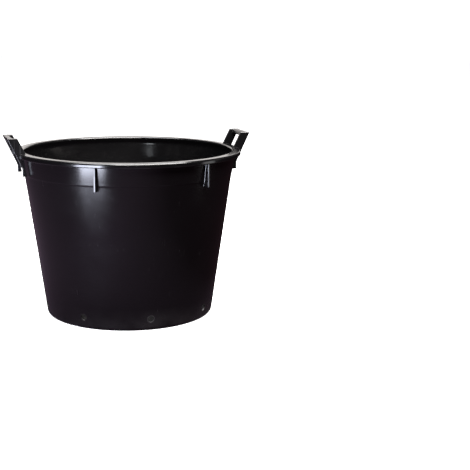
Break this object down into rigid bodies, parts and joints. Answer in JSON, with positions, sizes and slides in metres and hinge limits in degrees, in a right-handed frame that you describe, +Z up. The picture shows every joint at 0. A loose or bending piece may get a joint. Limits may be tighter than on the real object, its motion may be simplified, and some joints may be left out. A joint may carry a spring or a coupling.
{
  "type": "florist bucket",
  "caption": "Round tapered floristry and nursery tub with a flanged rim, drain holes and a rigid loop handle on each side for lifting.",
  "frame": {"origin": "on the ground at the tub's centre, under the foot ring", "axes": "+Z up through the open mouth; +X through the middle of the right handle and -X through the left handle"},
  "size_m": [0.544, 0.5, 0.4035],
  "materials": {
    "tub_black": "smooth glossy injection-moulded polypropylene, near black",
    "handle_black": "smooth glossy injection-moulded polypropylene, near black"
  },
  "bodies": {
    "root": {"tub_shell": "tub_black", "handle_left": "handle_black", "handle_right": "handle_black"}
  },
  "joints": []
}
